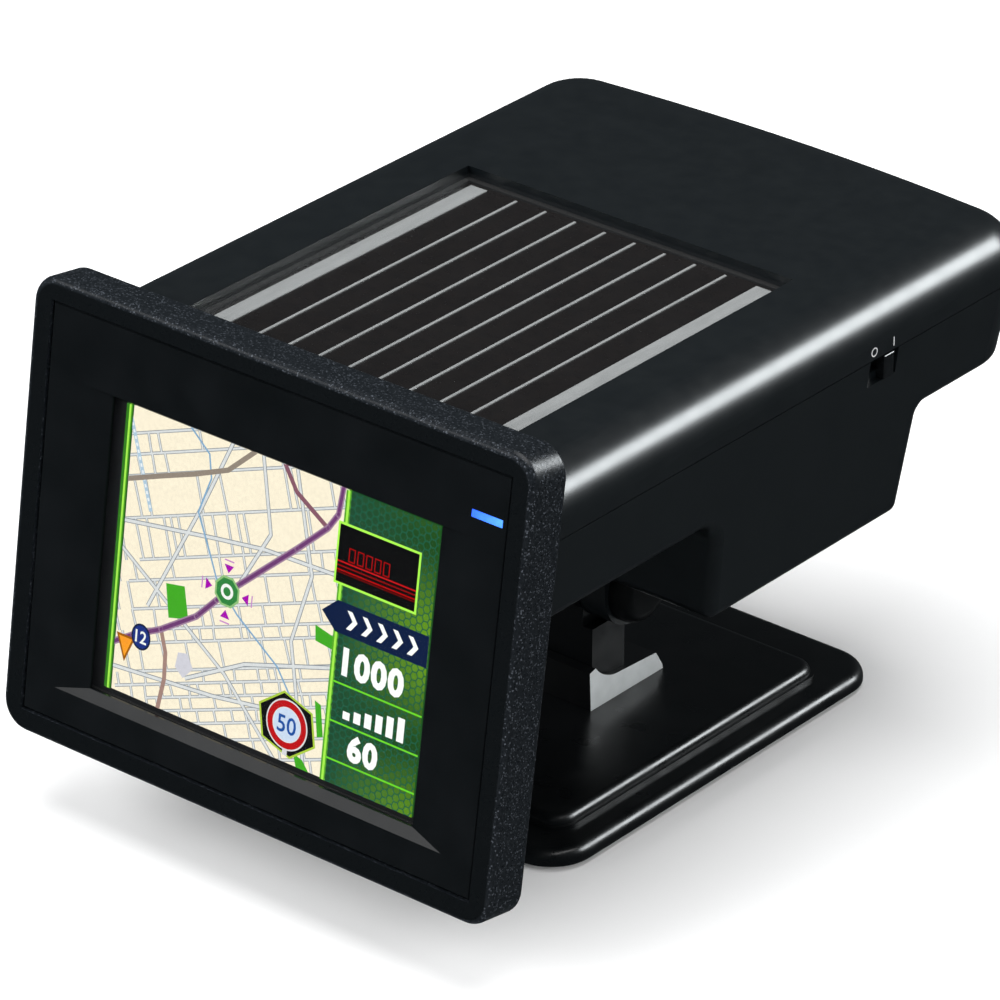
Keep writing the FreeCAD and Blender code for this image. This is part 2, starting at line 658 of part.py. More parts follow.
def lower_case():
    """The lower moulding with its bosses, standoffs and openings."""
    added = posts("lower_boss", screw_places(), "3.4", "eave + 0.5", "parting - eave - 1")
    added += posts("standoff", board_screw_places(), "2.6", "eave + 1", "board_low - eave - 1")
    added += posts("bracket_boss", bracket_screw_places(), "2.6", "belly + 1", "6")
    holes = posts("lower_hole", screw_places(), "1.35", "eave - 5", "30")
    holes += posts("lower_sink", screw_places(), "2.7", "eave - 0.2", "2.4")
    holes += posts("standoff_pilot", board_screw_places(), "0.82", "board_low - 6", "6")
    holes += posts("bracket_pilot", bracket_screw_places(), "1.02", "belly - 1", "8")
    holes.append(box("switch_recess", "10", "switch_long", "parting - switch_low + 1",
                     "switch_floor + 5", "switch_y", "switch_low"))
    holes.append(box("switch_slot", "8", "knob_travel + stem_long + 1", "stem_high + 0.6",
                     "switch_floor", "knob_y - knob_travel / 2", "stem_low - 0.3"))
    holes.append(rod("jack_hole", "3.2", "8", "-52", "jack_y", "jack_z", along="X"))
    holes.append(box("card_opening", "8", "12.4", "1.9", "-48", "card_y", "card_z - 0.95"))
    for index in range(7):
        holes.append(box(f"grille_slot_{index}", "13", "1.2", "4", "speaker_x",
                         f"speaker_y + ({index} - 3) * 2.6", "belly - 1"))
    shell = cut("lower_shell", lower_block(), *lower_hollows())
    blank = fuse("lower_blank", shell, *added)
    node("lower_case", cut("lower_trimmed", blank, face_trim("lower_front_trim"), *holes))


def board_screw_places():
    """Where the four main-board screws stand."""
    return [(f"{side}board_screw_x", end)
            for side in ("-", "+") for end in ("board_screw_front", "board_screw_rear")]


def bracket_screw_places():
    """Where the four bracket screws stand."""
    return [(f"{side}bracket_screw_x", f"pivot_y {end} bracket_screw_y")
            for side in ("-", "+") for end in ("-", "+")]


def case_screws():
    node("case_screws", screws("case_screw", screw_places(), ("2.5", "eave + 0.4", "1.8"),
                               ("1", "eave + 2.2", "17.6")))


# --------------------------------------------------------------------------- solar module

def solar_module():
    middle = "(solar_rear + solar_front) / 2"
    wide = "2 * solar_half - 2 * fit_gap"
    deep = "solar_rear - solar_front - 2 * fit_gap"
    cover_low = "case_top - solar_sink - solar_cover_thick"
    cell_low = f"{cover_low} - cell_thick"
    node("solar_cover", box("solar_cover_plate", wide, deep, "solar_cover_thick", "0", middle,
                            cover_low))
    plate = box("solar_cell_plate", f"{wide} - 2.4", f"{deep} - 2.4", "cell_thick - 0.3", "0",
                middle, cell_low)
    node("solar_cell", plate)
    outer = box("solar_gasket_outer", wide, deep, "cell_thick", "0", middle, cell_low)
    inner = box("solar_gasket_inner", f"{wide} - 2.2", f"{deep} - 2.2", "cell_thick + 2", "0",
                middle, f"{cell_low} - 1")
    node("solar_gasket", cut("solar_gasket_ring", outer, inner))
    strips = []
    line_low = f"{cell_low} + cell_thick - 0.3"
    for index in range(8):
        strips.append(box(f"solar_line_{index}", "line_wide", f"{deep} - 4", "line_thick",
                          f"({index} - 3.5) * cell_pitch", middle, line_low))
    for side in ("-", "+"):
        strips.append(box(f"solar_bus_{len(strips)}", "bus_wide", f"{deep} - 4", "line_thick",
                          f"{side}(4.5 * cell_pitch + bus_wide / 2)", middle, line_low))
    node("solar_bus_bars", group("solar_bus_set", strips))


# --------------------------------------------------------------------------- electronics

def main_board():
    middle = "(board_front + board_rear) / 2"
    plate = box("board_plate", "2 * board_half", "board_rear - board_front", "board_thick", "0",
                middle, "board_low")
    holes = posts("board_hole", board_screw_places(), "1.1", "board_low - 1", "4")
    node("main_board", cut("board_drilled", plate, *holes))
    top = "board_low + board_thick"
    node("board_screws", screws("board_screw", board_screw_places(), ("2", top, "1.2"),
                                ("0.8", f"{top} - 5.4", "5.4")))


def board_parts():
    """Shield, chips, GPS antenna and the ribbon connector on the main board."""
    top = "board_low + board_thick"
    shield = box("shield_outer", "24", "22", "2.6", "-14", "-4", top)
    hollow = box("shield_inner", "23.4", "21.4", "2.3", "-14", "-4", top)
    node("shield_can", cut("shield_shell", shield, hollow))
    chips = [box("processor", "14", "14", "1.2", "12", "-8", top),
             box("memory", "10", "13", "1.1", "12", "8", top),
             box("power_chip", "6", "6", "1.4", "-20", "20", top)]
    node("board_chips", group("board_chip_set", chips))
    spacer = box("antenna_spacer", "23", "23", "5", "0", "antenna_y", top)
    spacer_hollow = box("antenna_spacer_hollow", "22.2", "22.2", "4.6", "0", "antenna_y", top)
    node("gps_shield", cut("gps_shield_shell", spacer, spacer_hollow))
    node("gps_antenna", box("gps_patch", "18", "18", "4", "0", "antenna_y", f"{top} + 5"))
    node("ribbon_connector", box("ribbon_connector_block", "26", "5", "1.6", "0", "ribbon_y", top))


def sockets():
    """The card socket and the power socket, which open to the left."""
    top = "board_low + board_thick"
    socket = box("card_socket_block", "14", "15", "1.8", "-39.2", "card_y", "card_z - 1.05")
    legs = box("card_socket_legs", "8", "13", f"card_z - 1.05 - ({top})", "-36.1", "card_y", top)
    mouth = box("card_socket_mouth", "12", "11.6", "1.1", "-41.5", "card_y", "card_z - 0.7")
    node("card_socket", cut("card_socket_shell", fuse("card_socket_blank", socket, legs), mouth))
    jack = box("jack_block", "11", "9", "7.4", "jack_face + 5.6", "jack_y", "jack_z - 3.7")
    barrel = rod("jack_barrel", "2.75", "9", "jack_face", "jack_y", "jack_z", along="X")
    pin = rod("jack_pin", "0.65", "8.6", "jack_face + 0.5", "jack_y", "jack_z", along="X")
    node("dc_jack", fuse("jack_with_pin", cut("jack_shell", jack, barrel), pin))


def display_ribbon():
    """The flat cable from the display board to the main board, bent twice."""
    body = new_body("ribbon_body")
    profile = new_sketch(body, "ribbon_profile", plane="YZ_Plane")
    top = "board_low + board_thick + 1.6"
    bend = "ribbon_y - 11.5"
    corners = [(f"{bend} - 4.5", "71.2"), (bend, f"{top} + 0.5"),
               ("ribbon_y + 1.8", f"{top} + 0.5"), ("ribbon_y + 1.8", top),
               ("ribbon_y - 1.8", top), ("ribbon_y - 1.8", f"{top} + 0.25"),
               (f"{bend} + 0.2", f"{top} + 0.25"), (f"{bend} - 4.3", "70.95")]
    draw_outline(profile, corners)
    pad(body, "ribbon_strip", profile, "24", Midplane=True)
    node("display_ribbon", body)


def power_switch():
    top = "board_low + board_thick"
    shell = box("switch_shell", "11", "9", "3.2", "40.3", "switch_y", top)
    groove = box("switch_groove", "4", "knob_travel + stem_long + 1", "stem_high + 0.4", "44.8",
                 "knob_y - knob_travel / 2", "stem_low - 0.2")
    node("power_switch_body", cut("switch_body_cut", shell, groove))
    cap = box("knob_cap", "1.7", "knob_long", "4.3", "switch_floor + 0.95", "knob_y",
              "switch_low + 0.2")
    stem = box("knob_stem", "4.6", "stem_long", "stem_high", "switch_floor - 2.1", "knob_y",
               "stem_low")
    outside = number("switch_floor + 1.7")
    softened = soften("knob_cap_soft", cap, "0.35", lambda edge: edge.BoundBox.XMin > outside)
    node("power_switch_knob", fuse("knob_with_stem", softened, stem))


def horn_ring(body, name, station, half, low, high):
    """A rectangle across the horn at one station along Y."""
    sketch = new_sketch(body, name, plane="XZ_Plane", offset=f"-({station})")
    rectangle(sketch, half, low, high)
    return sketch


def radar_horn():
    """Tapered horn with a waveguide box, mouth to the rear, hollow right through."""
    body = new_body("radar_horn_body")
    ruled_loft(body, "PartDesign::AdditiveLoft", "horn_outside",
               [horn_ring(body, "horn_throat", "horn_throat_y", "9.5", "52", "62"),
                horn_ring(body, "horn_mouth", "horn_mouth_y", "16", "48.6", "66")])
    ruled_loft(body, "PartDesign::SubtractiveLoft", "horn_inside",
               [horn_ring(body, "horn_throat_in", "horn_throat_y", "8.2", "53.3", "60.7"),
                horn_ring(body, "horn_mouth_in", "horn_mouth_y", "14.7", "49.9", "64.7")])
    guide = box("guide_outer", "21", "18", "12", "0", "horn_throat_y - 9", "51")
    guide_bore = box("guide_bore", "16.4", "17", "7.4", "0", "horn_throat_y - 8", "53.3")
    node("radar_horn", fuse("horn_and_guide", body, cut("guide_shell", guide, guide_bore)))
    node("mixer_board", box("mixer_board_plate", "19", "16", "1", "0", "horn_throat_y - 9", "63"))


def speaker():
    """Basket, cone and magnet of the speaker that faces the grille under the bulge."""
    seat = "belly + wall"
    basket = rod("speaker_basket_ring", "11.3", "3", "speaker_x", "speaker_y", seat)
    bowl = rod("speaker_bowl", "9.6", "2.6", "speaker_x", "speaker_y", f"{seat} - 0.1")
    node("speaker_frame", cut("speaker_basket", basket, bowl))
    node("speaker_cone", rod("speaker_cone_disc", "9.4", "1.4", "speaker_x", "speaker_y",
                             f"{seat} + 1"))
    node("speaker_magnet", rod("speaker_magnet_block", "6.5", "2.6", "speaker_x", "speaker_y",
                               f"{seat} + 3"))


def battery():
    """Three cells stacked beside the horn."""
    places = (("24.5", "5.6"), ("35.3", "5.6"), ("29.9", "15.1"))
    cells = [rod(f"battery_cell_{index}", "cell_radius", "cell_long", x, "cell_front",
                 f"belly + wall + {rise}", along="Y")
             for index, (x, rise) in enumerate(places)]
    node("battery_cells", group("battery_stack", cells))


# --------------------------------------------------------------------------- stand

def adhesive_pad():
    block = box("pad_block", "pad_wide", "pad_deep", "pad_thick")
    node("adhesive_pad", soften("pad_rounded", block, "6", upright))


def base_plate():
    body = new_body("base_plate_body")
    outline = new_sketch(body, "base_outline", offset="pad_thick")
    rectangle(outline, "base_wide / 2", "-base_deep / 2", "base_deep / 2")
    pad(body, "base_block", outline, "base_top - pad_thick")
    round_edges(body, "base_corners", "base_corner", upright)
    top = number("base_top")
    round_edges(body, "base_top_edge", "base_round", lambda edge: at_height(edge, top))
    step = soften("step_soft", box("step_block", "platform_wide + 2 * step_grow",
                                   "platform_deep + 2 * step_grow", "step_top - 2", "0",
                                   "platform_y", "2"), "4.6", upright)
    platform = soften("platform_corners", box("platform_block", "platform_wide", "platform_deep",
                                              "platform_top - 2", "0", "platform_y", "2"),
                      "4", upright)
    crown = number("platform_top")
    platform = soften("platform_soft", platform, "platform_round", lambda edge: at_height(edge, crown))
    blank = fuse("base_blank", body, step, platform)
    pit = rod("pivot_pit", "9", "pivot_web - pad_thick + 1", "0", "pivot_y", "pad_thick - 1")
    bore = rod("pivot_bore", "pivot_radius + fit_gap", "10", "0", "pivot_y", "0")
    node("base_plate", cut("base_drilled", blank, pit, bore))


def pivot():
    washer = rod("pivot_washer_disc", "7.5", "0.7", "0", "pivot_y", "pivot_web - 0.7")
    eye = rod("pivot_washer_eye", "pivot_radius + fit_gap", "2", "0", "pivot_y", "pivot_web - 1.4")
    node("pivot_washer", cut("pivot_washer_ring", washer, eye))
    head = rod("pivot_head", "4.8", "0.9", "0", "pivot_y", "pivot_web - 1.6")
    shoulder = rod("pivot_shoulder", "pivot_radius", "foot_low - pivot_web + 0.7", "0", "pivot_y",
                   "pivot_web - 0.7")
    thread = rod("pivot_thread", "1.5", "7", "0", "pivot_y", "foot_low")
    node("pivot_screw", fuse("pivot_screw_solid", head, shoulder, thread))


def stand_foot():
    """A low block with a front post, a concave saddle and a long flat tail."""
    body = new_body("stand_foot_body")
    profile = new_sketch(body, "foot_profile", plane="YZ_Plane")
    corners = [("foot_front + 0.3", "foot_low"), ("foot_tail", "foot_low"),
               ("foot_tail - 0.2", "6.5"), ("12.9", "9.3"), ("3.4", "9.9"), ("-3.2", "13.2"),
               ("foot_front", "12.8")]
    draw_outline(profile, corners, {4: ("-0.6", "10.9")})
    pad(body, "foot_block", profile, "2 * foot_half", Midplane=True)
    socket = box("foot_socket", "2 * arm_half + 2 * fit_gap", "arm_rear - arm_front + 2 * fit_gap",
                 "10", "0", "(arm_rear + arm_front) / 2", "arm_low")
    thread = rod("foot_thread", "1.52", "10", "0", "pivot_y", "foot_low - 1")
    holes = posts("foot_hole", foot_screw_places(), "1.02", "foot_low - 1", "10")
    holes += posts("foot_sink", foot_screw_places(), "2.1", "foot_low", "1.3")
    node("stand_foot", cut("stand_foot_cut", body, socket, thread, *holes))


def foot_screw_places():
    """Where the two screws through the foot stand."""
    return [(f"{side}foot_screw_x", "foot_screw_y") for side in ("-", "+")]


def stand_arm():
    """Post with a narrow round hub that the tilt bolt passes through."""
    middle = "(arm_rear + arm_front) / 2"
    post = box("arm_post", "2 * arm_half", "arm_rear - arm_front", "arm_shoulder - arm_low", "0",
               middle, "arm_low")
    neck = box("arm_neck", "2 * hub_half", "arm_rear - arm_front", "tilt_z - arm_low", "0",
               middle, "arm_low")
    hub = rod("arm_hub", "hub_radius", "2 * hub_half", "-hub_half", "pivot_y", "tilt_z", along="X")
    bore = rod("arm_bore", "bolt_radius + fit_gap", "40", "-20", "pivot_y", "tilt_z", along="X")
    thread = rod("arm_thread", "1.52", "6", "0", "pivot_y", "arm_low - 1")
    pilots = posts("arm_pilot", foot_screw_places(), "1.02", "arm_low - 1", "8")
    node("stand_arm", cut("stand_arm_drilled", fuse("arm_blank", post, neck, hub), bore, thread,
                          *pilots))
    node("foot_screws", screws("foot_screw", foot_screw_places(), ("2", "foot_low + 0.1", "1.2"),
                               ("1", "foot_low + 1.3", "7")))


def hinge_bracket():
    """Plate under the bulge with two ears that carry the tilt bolt."""
    plate = box("bracket_plate", "bracket_wide", "bracket_deep", "bracket_thick", "0", "pivot_y",
                "belly - bracket_thick")
    plate = soften("bracket_plate_soft", plate, "3", upright)
    ears = []
    inner = "hub_half + washer_thick"
    for index, side in enumerate((-1, 1)):
        start = f"{inner}" if side > 0 else f"-({inner}) - ear_thick"
        centre = f"{side} * ({inner} + ear_thick / 2)"
        ears.append(rod(f"ear_round_{index}", "hub_radius", "ear_thick", start, "pivot_y", "tilt_z",
                        along="X"))
        ears.append(box(f"ear_block_{index}", "ear_thick", "2 * hub_radius",
                        "belly - 1 - tilt_z", centre, "pivot_y", "tilt_z"))
    bore = rod("bracket_bore", "bolt_radius + 0.03", "60", "-30", "pivot_y", "tilt_z", along="X")
    holes = posts("bracket_hole", bracket_screw_places(), "1.15", "belly - bracket_thick - 1", "6")
    node("hinge_bracket", cut("bracket_drilled", fuse("bracket_blank", plate, *ears), bore, *holes))
    under = "belly - bracket_thick"
    node("bracket_screws", screws("bracket_screw", bracket_screw_places(),
                                  ("1.9", f"{under} - 1.2", "1.2"), ("1", under, "8")))


def tilt_hardware():
    """Bolt with a domed cap, its nut and the two friction washers."""
    side = "hub_half + washer_thick + ear_thick"
    cap = rod("tilt_cap_disc", "6.6", "3.4", side, "pivot_y", "tilt_z", along="X")
    far = number(f"{side} + 3.4")
    cap = soften("tilt_cap", cap, "2.4", lambda edge: abs(edge.BoundBox.XMin - far) < 0.01)
    shaft = rod("tilt_shaft", "bolt_radius", f"2 * ({side}) + 3.6", f"-({side}) - 3.4", "pivot_y",
                "tilt_z", along="X")
    node("tilt_bolt", fuse("tilt_bolt_solid", cap, shaft))
    nut = bind(doc.addObject("Part::Prism", "tilt_nut_hex"), Circumradius="5", Height="3")
    nut.Polygon = 6
    nut.Placement = Placement(Vector(), Rotation(Vector(0, 1, 0), 90))
    put(nut, f"-({side}) - 3", "pivot_y", "tilt_z")
    eye = rod("tilt_nut_eye", "bolt_radius + 0.02", "6", f"-({side}) - 5", "pivot_y", "tilt_z",
              along="X")
    node("tilt_nut", cut("tilt_nut_drilled", nut, eye))
    washers = []
    for index, start in enumerate(("-hub_half - washer_thick + 0.03", "hub_half + 0.03")):
        disc = rod(f"washer_disc_{index}", "6.6", "washer_thick - 0.06", start, "pivot_y", "tilt_z",
                   along="X")
        hole = rod(f"washer_hole_{index}", "bolt_radius + 0.1", "2", f"{start} - 0.8", "pivot_y",
                   "tilt_z", along="X")
        washers.append(cut(f"friction_washer_{index}", disc, hole))
    node("friction_washers", group("friction_washer_pair", washers))


# --------------------------------------------------------------------------- build

def check_everything():
    """Stop if any object failed or any sub-part has a bad shape."""
    for thing in doc.Objects:
        if {"Invalid", "Error"} & set(thing.State):
            raise RuntimeError(f"{thing.Name} failed: {thing.State}")
    for thing in nodes:
        shape = thing.Shape
        if shape.isNull() or not shape.isValid() or not shape.Solids:
            raise RuntimeError(f"{thing.Label} has a bad shape")
        print(f"{thing.Label:22s} solids {len(shape.Solids):2d}  volume {shape.Volume:10.1f} mm3")


def main():
    fill_sheet()
    bezel_rim()
    front_panel()
    screen_stack()
    status_light()
    display_back_cover()
    upper_case()
    lower_case()
    case_screws()
    solar_module()
    main_board()
    board_parts()
    sockets()
    display_ribbon()
    power_switch()
    radar_horn()
    speaker()
    battery()
    adhesive_pad()
    base_plate()
    pivot()
    stand_foot()
    stand_arm()
    hinge_bracket()
    tilt_hardware()
    doc.recompute()
    check_everything()
    os.makedirs("parts", exist_ok=True)
    for thing in nodes:
        thing.Shape.exportStep(f"parts/{thing.Label}.step")


main()
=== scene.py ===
"""Looks of the dashboard radar receiver: finishes, lit display picture, switch marks and studio."""

import math
import random

import bmesh
import bpy
from mathutils import Matrix, Vector

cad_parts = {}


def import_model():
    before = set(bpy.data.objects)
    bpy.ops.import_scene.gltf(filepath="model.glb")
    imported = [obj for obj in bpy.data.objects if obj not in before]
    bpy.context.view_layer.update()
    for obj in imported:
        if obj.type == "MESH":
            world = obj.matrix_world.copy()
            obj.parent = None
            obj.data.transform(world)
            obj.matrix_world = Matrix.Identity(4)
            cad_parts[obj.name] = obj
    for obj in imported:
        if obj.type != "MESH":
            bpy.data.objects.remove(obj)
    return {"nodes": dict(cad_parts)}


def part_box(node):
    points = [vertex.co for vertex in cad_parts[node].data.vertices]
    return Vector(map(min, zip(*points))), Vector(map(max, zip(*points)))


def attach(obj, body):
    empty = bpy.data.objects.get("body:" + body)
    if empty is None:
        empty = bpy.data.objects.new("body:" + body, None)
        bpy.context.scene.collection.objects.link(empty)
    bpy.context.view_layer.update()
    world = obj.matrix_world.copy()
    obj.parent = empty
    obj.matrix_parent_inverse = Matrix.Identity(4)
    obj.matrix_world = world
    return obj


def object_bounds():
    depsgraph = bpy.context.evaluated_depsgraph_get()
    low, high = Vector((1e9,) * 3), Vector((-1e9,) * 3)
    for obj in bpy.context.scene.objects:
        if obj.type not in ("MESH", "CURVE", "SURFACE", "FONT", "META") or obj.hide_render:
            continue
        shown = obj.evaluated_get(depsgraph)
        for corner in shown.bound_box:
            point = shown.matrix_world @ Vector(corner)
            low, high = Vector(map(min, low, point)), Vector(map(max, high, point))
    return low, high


MM = 0.001

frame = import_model()
cad_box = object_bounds()


# --------------------------------------------------------------------------- finishes

class Finish:
    """A Principled material and the few node shapes that every finish here is built from."""

    def __init__(self, name, colour, roughness, specular=0.5, metallic=0.0, **sockets):
        self.material = bpy.data.materials.new(name)
        self.material.use_nodes = True
        self.tree = self.material.node_tree
        self.shader = self.tree.nodes["Principled BSDF"]
        self.place = self.add("ShaderNodeTexCoord").outputs["Object"]
        self.set("Base Color", (*colour, 1.0))
        self.set("Roughness", roughness)
        self.set("Specular IOR Level", specular)
        self.set("Metallic", metallic)
        for socket, value in sockets.items():
            self.set(socket.replace("_", " "), value)

    def add(self, kind, **settings):
        made = self.tree.nodes.new(kind)
        for name, value in settings.items():
            setattr(made, name, value)
        return made

    def set(self, socket, value):
        self.shader.inputs[socket].default_value = value

    def link(self, output, target):
        self.tree.links.new(output, target)

    def noise(self, size, detail=2.0, stretch=(1, 1, 1)):
        """Noise whose lumps are about size millimetres across."""
        scaled = self.add("ShaderNodeMapping")
        scaled.inputs["Scale"].default_value = stretch
        self.link(self.place, scaled.inputs["Vector"])
        texture = self.add("ShaderNodeTexNoise")
        texture.inputs["Scale"].default_value = 1 / (size * MM)
        texture.inputs["Detail"].default_value = detail
        self.link(scaled.outputs["Vector"], texture.inputs["Vector"])
        return texture.outputs["Fac"]

    def spread(self, value, low, high, start=0.3, end=0.7):
        """value, which runs about 0.3 to 0.7, mapped to low to high."""
        mapped = self.add("ShaderNodeMapRange")
        for socket, number in zip(("From Min", "From Max", "To Min", "To Max"),
                                  (start, end, low, high)):
            mapped.inputs[socket].default_value = number
        self.link(value, mapped.inputs["Value"])
        return mapped.outputs["Result"]

    def blend(self, share, first, second):
        """A mix of two colours, each a colour or an output."""
        mixed = self.add("ShaderNodeMix", data_type="RGBA")
        self.link(share, mixed.inputs["Factor"])
        for socket, colour in zip((mixed.inputs["A"], mixed.inputs["B"]), (first, second)):
            if isinstance(colour, bpy.types.NodeSocket):
                self.link(colour, socket)
            else:
                socket.default_value = (*colour, 1.0)
        return mixed.outputs["Result"]

    def shade(self, first, second, size, detail=2.0, stretch=(1, 1, 1)):
        """Colour that wanders between two values."""
        share = self.spread(self.noise(size, detail, stretch), 0, 1)
        self.link(self.blend(share, first, second), self.shader.inputs["Base Color"])
        return self

    def polish(self, low, high, size):
        """Roughness that wanders between two values."""
        self.link(self.spread(self.noise(size), low, high), self.shader.inputs["Roughness"])
        return self

    def bump(self, height, depth, strength=1.0):
        """Relief from a height that runs 0 to 1, depth millimetres deep."""
        relief = self.add("ShaderNodeBump")
        relief.inputs["Strength"].default_value = strength
        relief.inputs["Distance"].default_value = depth * MM
        self.link(height, relief.inputs["Height"])
        self.link(relief.outputs["Normal"], self.shader.inputs["Normal"])
        return self

    def grain(self, size, depth, detail=2.0):
        """Fine moulded relief."""
        return self.bump(self.noise(size, detail), depth)

    def glow(self, colour, change, strength):
        """Emitted light: a colour output times a share that wanders a little."""
        dimmed = self.add("ShaderNodeVectorMath", operation="SCALE")
        self.link(colour, dimmed.inputs[0])
        self.link(change, dimmed.inputs["Scale"])
        self.link(dimmed.outputs["Vector"], self.shader.inputs["Emission Color"])
        self.set("Emission Strength", strength)
        return self

    def facing(self):
        """The outputs X, Y and Z of the surface's direction in the part's own axes."""
        split = self.add("ShaderNodeSeparateXYZ")
        self.link(self.add("ShaderNodeTexCoord").outputs["Normal"], split.inputs["Vector"])
        return split.outputs


def satin_black():
    made = Finish("satin_black_plastic", (0.004, 0.0055, 0.0065), 0.29, specular=0.4)
    made.shade((0.0034, 0.0048, 0.0058), (0.0044, 0.006, 0.007), 6, 3)
    made.polish(0.3, 0.33, 3)
    return made.grain(0.35, 0.0007)


def sparkle_black():
    """Charcoal with a fine grain and scattered bright flakes; its flat front is painted near black
    as painted shade.
    """
    made = Finish("grained_charcoal_plastic", (0.006, 0.0075, 0.0095), 0.33, specular=0.18)
    flakes = made.add("ShaderNodeTexVoronoi", feature="F1")
    flakes.inputs["Scale"].default_value = 1 / (0.22 * MM)
    made.link(made.place, flakes.inputs["Vector"])
    tint = made.add("ShaderNodeSeparateColor")
    made.link(flakes.outputs["Color"], tint.inputs["Color"])
    bright = made.spread(tint.outputs["Red"], 0, 1, 0.86, 0.99)
    base = made.blend(made.spread(made.noise(0.5, 4), 0, 1), (0.0042, 0.0055, 0.007),
                      (0.0078, 0.0098, 0.0122))
    grained = made.blend(bright, base, (0.05, 0.057, 0.068))
    # Painted shade: faces looking straight out of the front are darkened to near black.
    front_painted_shade = made.spread(made.facing()["Y"], 1, 0, -0.985, -0.95)
    made.link(made.blend(front_painted_shade, grained, (0.0022, 0.003, 0.0036)),
              made.shader.inputs["Base Color"])
    made.polish(0.26, 0.4, 0.5)
    return made.bump(made.noise(0.24, 3), 0.006)


def gloss_black(name, roughness=0.07, specular=0.5):
    made = Finish(name, (0.003, 0.0035, 0.004), roughness, specular=specular)
    made.shade((0.0022, 0.0028, 0.0032), (0.0035, 0.0042, 0.0048), 9)
    made.polish(roughness * 0.85, roughness * 1.2, 5)
    return made.grain(4.0, 0.0012, 1.0)


def foot_finish():
    """Black moulding whose flat flanks are painted light grey: a painted reflection of the studio
    light.
    """
    made = gloss_black("stand_foot_black_with_painted_reflection", 0.38, 0.3)
    across = made.add("ShaderNodeMath", operation="ABSOLUTE")
    made.link(made.facing()["X"], across.inputs[0])
    # Faces looking along X get light grey, a painted reflection of the studio light.
    reflection_flank = made.spread(across.outputs["Value"], 0, 1, 0.96, 0.99)
    grey = made.blend(made.spread(made.noise(3.0), 0, 1), (0.60, 0.635, 0.64), (0.68, 0.715, 0.72))
    made.link(made.blend(reflection_flank, (0.003, 0.0035, 0.004), grey), made.shader.inputs["Base Color"])
    return made


def clear_cover(name, alpha):
    made = Finish(name, (0.02, 0.022, 0.024), 0.03, specular=0.5, Alpha=alpha)
    made.shade((0.018, 0.02, 0.022), (0.024, 0.026, 0.028), 8)
    return made.polish(0.02, 0.05, 6)


def solar_dark():
    made = Finish("thin_film_cell", (0.006, 0.0036, 0.0026), 0.3, specular=0.2)
    made.shade((0.0045, 0.0026, 0.002), (0.0075, 0.0046, 0.0034), 2.5, 3)
    return made.polish(0.25, 0.36, 1.5)


def solar_silver():
    made = Finish("printed_silver", (0.45, 0.46, 0.46), 0.5, metallic=0.1)
    made.shade((0.36, 0.375, 0.375), (0.42, 0.435, 0.435), 1.2, 4, (1, 0.15, 1))
    return made.grain(0.2, 0.004)


def metal(name, colour, roughness, size=1.2, stretch=(1, 1, 0.1)):
    made = Finish(name, colour, roughness, metallic=1.0)
    made.shade(tuple(c * 0.85 for c in colour), colour, size, 3, stretch)
    made.polish(roughness * 0.8, roughness * 1.25, size)
    return made.grain(size / 4, 0.003)


def plain(name, colour, roughness, size=1.5, depth=0.004):
    made = Finish(name, colour, roughness)
    made.shade(tuple(c * 0.75 for c in colour), colour, size, 3)
    made.polish(roughness * 0.85, min(1.0, roughness * 1.15), size)
    return made.grain(size / 5, depth)


def circuit_board():
    """Green solder mask with copper tracks faintly showing."""
    made = Finish("green_circuit_board", (0.01, 0.07, 0.025), 0.3)
    bricks = made.add("ShaderNodeTexBrick")
    bricks.inputs["Scale"].default_value = 180
    bricks.inputs["Color1"].default_value = (0.008, 0.07, 0.024, 1)
    bricks.inputs["Color2"].default_value = (0.012, 0.09, 0.03, 1)
    bricks.inputs["Mortar"].default_value = (0.03, 0.14, 0.05, 1)
    made.link(made.place, bricks.inputs["Vector"])
    made.link(bricks.outputs["Color"], made.shader.inputs["Base Color"])
    made.polish(0.25, 0.4, 2)
    return made.bump(bricks.outputs["Fac"], 0.02, 0.5)


def foam():
    made = Finish("grey_foam_tape", (0.2, 0.2, 0.21), 0.9)
    made.shade((0.12, 0.12, 0.13), (0.24, 0.24, 0.25), 0.6, 4)
    return made.grain(0.4, 0.06)


def light_guide():
    """Blue light bar, brightest towards its outer end."""
    made = Finish("blue_light_guide", (0.02, 0.08, 0.4), 0.25)
    low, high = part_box("status_led_lens")
    along = made.add("ShaderNodeSeparateXYZ")
    made.link(made.place, along.inputs["Vector"])
    share = made.spread(along.outputs["X"], 0, 1, low.x, high.x)
    blue = made.blend(share, (0.005, 0.05, 0.8), (0.06, 0.25, 1.0))
    return made.glow(blue, made.spread(made.noise(0.8), 0.8, 1.15), 1.6)


def lit_picture():
    """Light from the display, in the colours painted on the mesh, with a faint pixel structure."""
    made = Finish("lit_display_picture", (0.0, 0.0, 0.0), 0.4, specular=0.0)
    paint = made.add("ShaderNodeAttribute", attribute_name="paint").outputs["Color"]
    return made.glow(paint, made.spread(made.noise(0.6, 3), 0.94, 1.04), 1.22)


def white_print():
    made = Finish("white_print", (0.55, 0.56, 0.57), 0.5)
    return made.shade((0.46, 0.47, 0.48), (0.6, 0.61, 0.62), 0.4, 4)


def dress(finish, *names):
    """Give CAD nodes one finish."""
    for name in names:
        data = frame["nodes"][name].data
        data.materials.clear()
        data.materials.append(finish.material)


